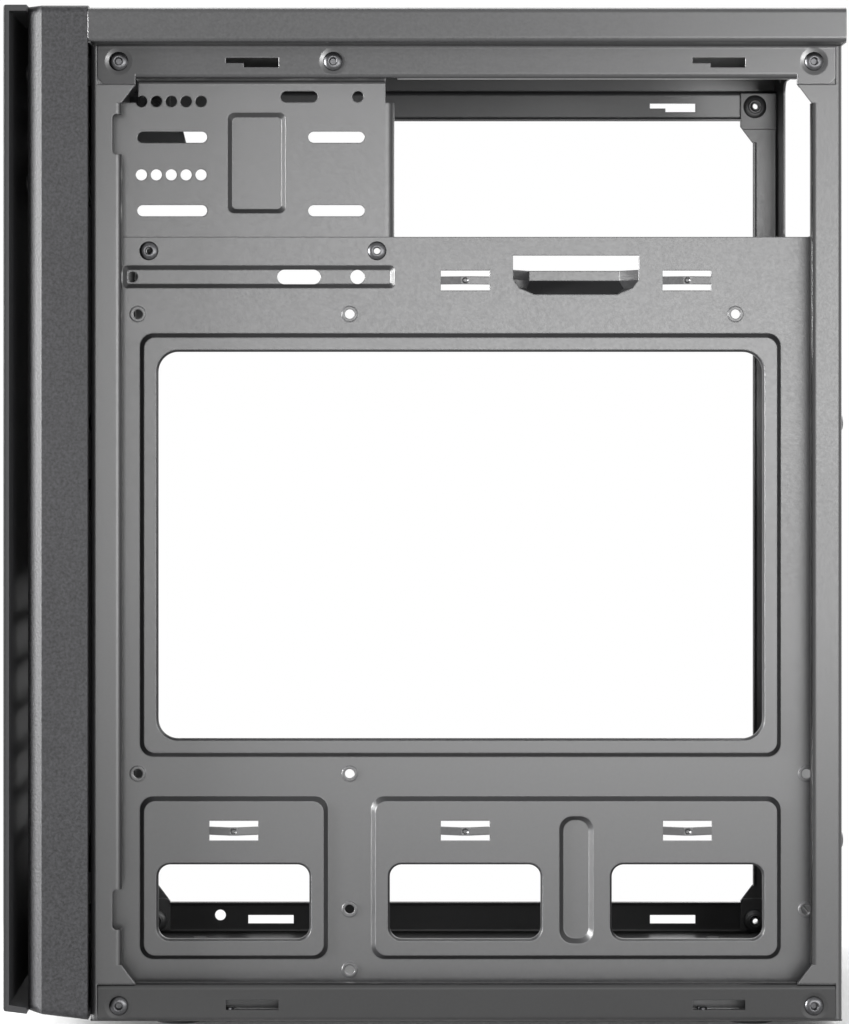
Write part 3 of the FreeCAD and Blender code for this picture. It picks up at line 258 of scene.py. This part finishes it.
SLOT_NODES = {
    "painted_steel": ["top_panel", "bottom_panel", "front_panel", "rear_panel", "motherboard_tray", "drive_bracket",
                      "slot_cover_1", "slot_cover_2", "slot_cover_3", "slot_cover_4"],
    "rivet_steel": ["frame_rivets", "tray_rivets", "bracket_rivets", "front_rivets", "rear_rivets"],
    "foot_rubber": ["foot_front_near", "foot_front_far", "foot_rear_near", "foot_rear_far"],
    "plated_screws": ["slot_screws", "board_screws"],
    "bezel_plastic": ["front_bezel"],
    "plate_plastic": ["front_plate"],
    "button_plastic": ["power_button", "reset_button"],
    "switch_plastic": ["power_switch", "reset_switch"],
    "board_laminate": ["front_board"],
    "port_shell": ["serial_port_1", "serial_port_2"],
    "jack_plastic": ["microphone_jack", "headphone_jack"],
    "light_plastic": ["power_light", "drive_light"],
}
for slot, members in SLOT_NODES.items():
    for member in members:
        data = nodes[member].data
        data.materials.clear()
        data.materials.append(FINISHES[slot])


def solids_of(node):
    """Lowest and highest corner of each separate solid in a CAD node, from a merged copy of its mesh."""
    mesh = bmesh.new()
    mesh.from_mesh(nodes[node].data)
    bmesh.ops.remove_doubles(mesh, verts=mesh.verts, dist=WELD)
    left = set(mesh.verts)
    boxes = []
    while left:
        edge_of_search = [left.pop()]
        found = []
        while edge_of_search:
            vertex = edge_of_search.pop()
            found.append(vertex.co.copy())
            for edge in vertex.link_edges:
                other = edge.other_vert(vertex)
                if other in left:
                    left.remove(other)
                    edge_of_search.append(other)
        boxes.append((Vector(map(min, zip(*found))), Vector(map(max, zip(*found)))))
    mesh.free()
    return sorted(boxes, key=lambda box: tuple(round(value, 5) for value in box[0]))


def seats(node, axis_index, head_height, outwards=None):
    """Seat under each fastener's head, the way its head faces and the length below it, from the node's solids."""
    found = []
    for low, high in solids_of(node):
        middle = (low + high) / 2
        out = outwards or (1 if middle[axis_index] > 0 else -1)
        axis = Vector((0, 0, 0))
        axis[axis_index] = out
        middle[axis_index] = high[axis_index] if out > 0 else low[axis_index]
        found.append((middle - axis * head_height, axis, high[axis_index] - low[axis_index] - head_height))
    return found


def turned(tree, profile):
    """Closed turned shape of unit size: open cones through (radius, height) pairs, welded along their rims."""
    joined = add(tree, "GeometryNodeJoinGeometry")
    for (r0, z0), (r1, z1) in zip(profile, profile[1:] + profile[:1]):
        up = z1 > z0
        bottom, top, base = (r0, r1, z0) if up else (r1, r0, z1)
        cone = add(tree, "GeometryNodeMeshCone", {"Vertices": AROUND, "Radius Bottom": bottom, "Radius Top": top,
                                                  "Depth": abs(z1 - z0)}, fill_type="NONE")
        piece = add(tree, "GeometryNodeTransform", {"Geometry": cone.outputs["Mesh"], "Translation": (0, 0, base)})
        shape = piece.outputs[0]
        if not up:
            shape = add(tree, "GeometryNodeFlipFaces", {"Mesh": shape}).outputs[0]
        tree.links.new(shape, joined.inputs[0])
    return add(tree, "GeometryNodeMergeByDistance", {"Geometry": joined.outputs[0], "Distance": AXIS}).outputs[0]


def new_tree(name, sizes):
    """Geometry tree with one named input for each size; returns the tree and its inputs."""
    tree = bpy.data.node_groups.new(name, "GeometryNodeTree")
    tree.interface.new_socket(name="Geometry", in_out="INPUT", socket_type="NodeSocketGeometry")
    for size in sizes:
        tree.interface.new_socket(name=size, in_out="INPUT", socket_type="NodeSocketFloat")
    tree.interface.new_socket(name="Geometry", in_out="OUTPUT", socket_type="NodeSocketGeometry")
    inputs = add(tree, "NodeGroupInput").outputs
    return tree, inputs


def close_tree(tree, instances, material):
    """Real mesh out of instances, in one material."""
    real = add(tree, "GeometryNodeRealizeInstances", {"Geometry": instances})
    done = add(tree, "GeometryNodeSetMaterial", {"Geometry": real.outputs[0], "Material": material})
    add(tree, "NodeGroupOutput", {"Geometry": done.outputs[0]})


def on_points(tree, points, shape):
    """Copies of shape on points, each turned so that its Z follows the point's axis."""
    axis = add(tree, "GeometryNodeInputNamedAttribute", {"Name": "axis"}, data_type="FLOAT_VECTOR")
    turn = add(tree, "FunctionNodeAlignRotationToVector", {"Vector": axis.outputs["Attribute"]}, axis="Z")
    return add(tree, "GeometryNodeInstanceOnPoints", {"Points": points, "Instance": shape,
                                                      "Rotation": turn.outputs[0]}).outputs[0]


def scaled(tree, shape, radius, height):
    """Unit shape stretched to a radius and a height."""
    size = add(tree, "ShaderNodeCombineXYZ", {"X": radius, "Y": radius, "Z": height})
    return add(tree, "GeometryNodeTransform", {"Geometry": shape, "Scale": size.outputs[0]}).outputs[0]


def grow(name, tree, sizes, places, replaced=(), body=CASE):
    """Plain mesh that a tree grows on places, each a point with its axis, riding on a body."""
    mesh = bpy.data.meshes.new(name + " seats")
    mesh.from_pydata([place[0] for place in places], [], [])
    axes = mesh.attributes.new("axis", "FLOAT_VECTOR", "POINT")
    for item, place in zip(axes.data, places):
        item.vector = place[1]
    source = bpy.data.objects.new(name + " source", mesh)
    bpy.context.scene.collection.objects.link(source)
    modifier = source.modifiers.new("grow", "NODES")
    modifier.node_group = tree
    for socket in tree.interface.items_tree:
        if socket.in_out == "INPUT" and socket.name in sizes:
            modifier[socket.identifier] = sizes[socket.name]
    evaluated = source.evaluated_get(bpy.context.evaluated_depsgraph_get())
    grown = bpy.data.meshes.new_from_object(evaluated)
    bpy.data.objects.remove(source)
    return show(name, grown, replaced, body)


def show(name, mesh, replaced=(), body=CASE):
    """Object at the origin that rides on a body and may stand for CAD nodes."""
    piece = bpy.data.objects.new(name, mesh)
    bpy.context.scene.collection.objects.link(piece)
    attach(piece, body)
    if replaced:
        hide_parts(*replaced)
    return piece


def rivet_tree(name, hollow):
    """Rivet with a low dome and a rolled rim: a hollow one is open behind it, a blind one keeps its mandrel's end."""
    tree, inputs = new_tree(name, ["Head radius", "Head height", "Shank radius", "Shank length"])
    rim = [(0.98, -0.02), (1.0, 0.1), (0.96, 0.34), (0.86, 0.6),
           (0.72, 0.81), (0.56, 0.94), (0.44, 0.98), (0.38, 0.9)]
    if hollow:
        dome = turned(tree, [(0.36, 0.0)] + rim)
        stem = turned(tree, [(0.7, -1.0), (0.98, -1.002), (1.0, -0.99), (1.0, 0.02), (0.7, 0.022)])
    else:
        dome = turned(tree, [(AXIS, 0.0)] + rim + [(0.35, 0.55), (0.3, 0.5), (0.24, 0.62), (AXIS, 0.66)])
        stem = turned(tree, [(AXIS, -1.0), (0.9, -1.002), (1.0, -0.96), (1.0, 0.02), (AXIS, 0.022)])
    head = scaled(tree, dome, inputs["Head radius"], inputs["Head height"])
    shank = scaled(tree, stem, inputs["Shank radius"], inputs["Shank length"])
    both = add(tree, "GeometryNodeJoinGeometry", {"Geometry": head})
    tree.links.new(shank, both.inputs[0])
    smooth = add(tree, "GeometryNodeSetShadeSmooth", {"Geometry": both.outputs[0]})
    close_tree(tree, on_points(tree, inputs["Geometry"], smooth.outputs[0]), FINISHES["rivet_steel"])
    return tree


def pressing_tree():
    """Back of a pressed rivet seat: a low cone with the rivet's rolled tail in its middle."""
    tree, inputs = new_tree("rivet pressing", ["Radius", "Height"])
    profile = [(0.36, 0.0), (1.0, -0.02), (0.98, 0.16), (0.72, 0.58), (0.66, 0.62),
               (0.6, 0.625), (0.59, 0.85), (0.53, 0.97), (0.45, 1.0), (0.39, 0.92)]
    shape = scaled(tree, turned(tree, profile), inputs["Radius"], inputs["Height"])
    smooth = add(tree, "GeometryNodeSetShadeSmooth", {"Geometry": shape})
    close_tree(tree, on_points(tree, inputs["Geometry"], smooth.outputs[0]), FINISHES["painted_steel"])
    return tree


def mandrel_tree():
    """Broken end of the mandrel that stays in a pulled rivet."""
    tree, inputs = new_tree("rivet mandrel", ["Radius", "Length"])
    rod = turned(tree, [(AXIS, -1.0), (0.98, -1.002), (1.0, -0.96), (1.0, -0.04), (0.9, 0.0), (AXIS, 0.002)])
    shape = scaled(tree, rod, inputs["Radius"], inputs["Length"])
    close_tree(tree, on_points(tree, inputs["Geometry"], shape), FINISHES["rivet_steel"])
    return tree


def screw_tree():
    """Pan-head screw with a cross recess and a plain shank."""
    tree, inputs = new_tree("screw", ["Head radius", "Head height", "Shank radius", "Shank length"])
    pan = turned(tree, [(AXIS, 0.0), (1.0, -0.02), (1.0, 0.45), (0.94, 0.72),
                        (0.78, 0.92), (0.5, 1.0), (AXIS, 1.001)])
    arms = add(tree, "GeometryNodeJoinGeometry")
    for size in RECESS_ARMS:
        arm = add(tree, "GeometryNodeMeshCube", {"Size": size})
        lifted = add(tree, "GeometryNodeTransform", {"Geometry": arm.outputs["Mesh"],
                                                     "Translation": (0, 0, RECESS_HEIGHT)})
        tree.links.new(lifted.outputs[0], arms.inputs[0])
    recess = add(tree, "GeometryNodeMeshBoolean", {"Mesh 1": pan, "Mesh 2": arms.outputs[0],
                                                   "Self Intersection": True}, operation="DIFFERENCE", solver="EXACT")
    rod = turned(tree, [(AXIS, -1.0), (0.85, -1.001), (1.0, -0.93), (1.0, 0.02), (AXIS, 0.021)])
    head = scaled(tree, recess.outputs["Mesh"], inputs["Head radius"], inputs["Head height"])
    shank = scaled(tree, rod, inputs["Shank radius"], inputs["Shank length"])
    both = add(tree, "GeometryNodeJoinGeometry", {"Geometry": head})
    tree.links.new(shank, both.inputs[0])
    close_tree(tree, on_points(tree, inputs["Geometry"], both.outputs[0]), FINISHES["plated_screws"])
    return tree


def strip_tree(name, material):
    """Small bars, one on each point, as long, wide and thick as asked."""
    tree, inputs = new_tree(name, ["Length", "Width", "Thickness"])
    size = add(tree, "ShaderNodeCombineXYZ", {"X": inputs["Length"], "Y": inputs["Width"], "Z": inputs["Thickness"]})
    bar = add(tree, "GeometryNodeMeshCube", {"Size": size.outputs[0]})
    placed = add(tree, "GeometryNodeInstanceOnPoints", {"Points": inputs["Geometry"],
                                                        "Instance": bar.outputs["Mesh"]})
    close_tree(tree, placed.outputs[0], material)
    return tree


def fasteners():
    """Rivets and screws in place of the plain CAD ones, with what shows inside and behind the frame's rivets."""
    hollow = rivet_tree("hollow rivet", True)
    blind = rivet_tree("blind rivet", False)
    for node, rivets, axis_index, outwards in (("frame_rivets", hollow, 1, None), ("bracket_rivets", hollow, 1, -1),
                                               ("tray_rivets", blind, 2, -1), ("front_rivets", blind, 0, -1),
                                               ("rear_rivets", blind, 0, 1)):
        places = seats(node, axis_index, RIVET_HEAD_HEIGHT, outwards)
        sizes = {"Head radius": RIVET_HEAD_RADIUS, "Head height": RIVET_HEAD_HEIGHT,
                 "Shank radius": RIVET_SHANK_RADIUS, "Shank length": places[0][2]}
        grow(node + "_rolled", rivets, sizes, places, [node])
    frame_seats = seats("frame_rivets", 1, RIVET_HEAD_HEIGHT)
    # The far rear rivets are open right through
    mandrels = [(seat - axis * MANDREL_DEPTH, axis) for seat, axis, _ in frame_seats if axis.y < 0 or seat.x < 0]
    grow("rivet_mandrels", mandrel_tree(), {"Radius": MANDREL_RADIUS, "Length": MANDREL_LENGTH}, mandrels)
    pressings = [(seat - axis * (length - RIVET_TAIL_LENGTH), -axis)
                 for seat, axis, length in frame_seats if axis.y > 0]
    grow("far_rivet_pressings", pressing_tree(), {"Radius": PRESSING_RADIUS, "Height": PRESSING_HEIGHT}, pressings)
    screws = screw_tree()
    for node, axis_index, head_radius, head_height, shank_radius in (
            ("slot_screws", 1, SCREW_HEAD_RADIUS, SCREW_HEAD_HEIGHT, SCREW_SHANK_RADIUS),
            ("board_screws", 0, BOARD_SCREW_HEAD_RADIUS, BOARD_SCREW_HEAD_HEIGHT, BOARD_SCREW_SHANK_RADIUS)):
        places = seats(node, axis_index, head_height, 1)
        sizes = {"Head radius": head_radius, "Head height": head_height,
                 "Shank radius": shank_radius, "Shank length": places[0][2]}
        grow(node + "_crossed", screws, sizes, places, [node])


def board_details():
    """Contacts in the serial ports, and the wire header on the back of the front board."""
    up = Vector((0, 0, 1))
    contacts = strip_tree("contact", GOLD)
    places = []
    for node in SLOT_NODES["port_shell"]:
        low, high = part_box(node)
        under = high.z - 2 * SHELL_WALL - TONGUE_THICKNESS - CONTACT_THICKNESS / 2
        for i in range(CONTACT_COUNT):
            y = (low.y + high.y) / 2 + (i - (CONTACT_COUNT - 1) / 2) * CONTACT_PITCH
            places.append((Vector((low.x + PORT_DEPTH - CONTACT_LENGTH / 2, y, under)), up))
    sizes = {"Length": CONTACT_LENGTH, "Width": CONTACT_WIDTH, "Thickness": CONTACT_THICKNESS}
    grow("port_contacts", contacts, sizes, places)

    low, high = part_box("front_board")
    centre = Vector((high.x, 0.0, (low.z + high.z) / 2))
    pins = []
    for row in range(PIN_ROWS):
        for column in range(PIN_COLUMNS):
            y = (column - (PIN_COLUMNS - 1) / 2) * PIN_PITCH
            z = (row - (PIN_ROWS - 1) / 2) * PIN_PITCH
            pins.append((centre + Vector((PIN_LENGTH / 2, y, z)), up))
    sizes = {"Length": PIN_LENGTH, "Width": PIN_SIDE, "Thickness": PIN_SIDE}
    grow("header_pins", strip_tree("pin", GOLD), sizes, pins)
    block = bmesh.new()
    bmesh.ops.create_cube(block, size=1.0)
    block_size = Vector((HEADER_HEIGHT, PIN_COLUMNS * PIN_PITCH, PIN_ROWS * PIN_PITCH))
    for vertex in block.verts:
        vertex.co = centre + Vector((HEADER_HEIGHT / 2, 0, 0)) + vertex.co * block_size
    mesh = bpy.data.meshes.new("header_block")
    block.to_mesh(mesh)
    block.free()
    mesh.materials.append(FINISHES["jack_plastic"])
    show("header_block", mesh)


def shown_rays(tree):
    """1 for rays that show the background, seen straight, through clear parts or mirrored."""
    path = add(tree, "ShaderNodeLightPath").outputs
    shown = path["Is Camera Ray"]
    for kind in ("Is Glossy Ray", "Is Transmission Ray"):
        shown = add(tree, "ShaderNodeMath", {0: shown, 1: path[kind]}, operation="MAXIMUM").outputs[0]
    return shown


def floor():
    """Pale floor: it keeps the shadow by the case and is plain white further off."""
    bpy.ops.mesh.primitive_plane_add(size=FLOOR_SIZE)
    plane = bpy.context.object
    plane.name = "floor"
    material, tree, shader = new_material("pale studio floor")
    seen = shown_rays(tree)
    pale = add(tree, "ShaderNodeMix", {"Factor": seen, "A": linear(FLOOR_BOUNCED), "B": linear(FLOOR_SEEN)},
               data_type="RGBA")
    tree.links.new(pale.outputs["Result"], shader.inputs["Base Color"])
    shader.inputs["Roughness"].default_value = FLOOR_ROUGHNESS
    place = add(tree, "ShaderNodeSeparateXYZ", {0: add(tree, "ShaderNodeTexCoord").outputs["Object"]})
    reach = []
    for axis, half in (("X", cad_box[1][0]), ("Y", cad_box[1][1])):
        away = add(tree, "ShaderNodeMath", {0: place.outputs[axis]}, operation="ABSOLUTE")
        reach.append(add(tree, "ShaderNodeMath", {0: away.outputs[0], 1: half}, operation="SUBTRACT").outputs[0])
    far = add(tree, "ShaderNodeMath", {0: reach[0], 1: reach[1]}, operation="MAXIMUM")
    fade = add(tree, "ShaderNodeMapRange", {"Value": far.outputs[0], "From Min": SHADOW_START,
                                            "From Max": SHADOW_END}, interpolation_type="SMOOTHSTEP")
    share = add(tree, "ShaderNodeMath", {0: fade.outputs[0], 1: seen}, operation="MULTIPLY")
    white = add(tree, "ShaderNodeEmission", {"Color": linear(WHITE), "Strength": 1.0})
    mix = add(tree, "ShaderNodeMixShader", {0: share.outputs[0], 1: shader.outputs[0], 2: white.outputs[0]})
    output = [node for node in tree.nodes if node.type == "OUTPUT_MATERIAL"][0]
    tree.links.new(mix.outputs[0], output.inputs["Surface"])
    plane.data.materials.append(material)


def studio():
    """White surround that lights little, and soft lamps, some of which light only some of the nodes."""
    world = bpy.data.worlds.new("studio")
    bpy.context.scene.world = world
    world.use_nodes = True
    tree = world.node_tree
    tree.nodes.clear()
    level = add(tree, "ShaderNodeMapRange", {"Value": shown_rays(tree), "To Min": SURROUND_LIGHT, "To Max": 1.0})
    light = add(tree, "ShaderNodeBackground", {"Color": linear(WHITE), "Strength": level.outputs[0]})
    add(tree, "ShaderNodeOutputWorld", {"Surface": light.outputs[0]})
    for name, place, size, power, flag, flagged in LAMPS:
        lamp = bpy.data.lights.new(name, "AREA")
        lamp.shape = "RECTANGLE"
        lamp.size, lamp.size_y = size
        lamp.energy = power
        holder = bpy.data.objects.new(name, lamp)
        holder.location = place
        aim = LAMP_AIM - holder.location
        holder.rotation_euler = aim.to_track_quat("-Z", "Y").to_euler()
        holder.visible_camera = False
        bpy.context.scene.collection.objects.link(holder)
        if flagged:
            group = bpy.data.collections.new(name + " flag")
            for node in flagged:
                group.objects.link(nodes[node])
            for entry in group.collection_objects:
                entry.light_linking.link_state = flag
            holder.light_linking.receiver_collection = group


def camera():
    """Level camera square to the tray, shifted to the photograph's framing."""
    lens = bpy.data.cameras.new("camera")
    long_side = max(PHOTO_WIDTH, PHOTO_HEIGHT)
    lens.sensor_width = SENSOR
    lens.lens = FOCAL_PIXELS / long_side * SENSOR
    lens.shift_x = (PHOTO_WIDTH / 2 - AIM_X) / long_side
    lens.shift_y = (AIM_Y - PHOTO_HEIGHT / 2) / long_side
    lens.clip_start = CLIP_START
    lens.clip_end = CLIP_END
    holder = bpy.data.objects.new("camera", lens)
    holder.location = CAMERA
    holder.rotation_euler = (math.pi / 2, 0, 0)
    bpy.context.scene.collection.objects.link(holder)
    bpy.context.scene.camera = holder


camera()
fasteners()
board_details()
floor()
studio()
bpy.context.scene.view_settings.view_transform = "Standard"
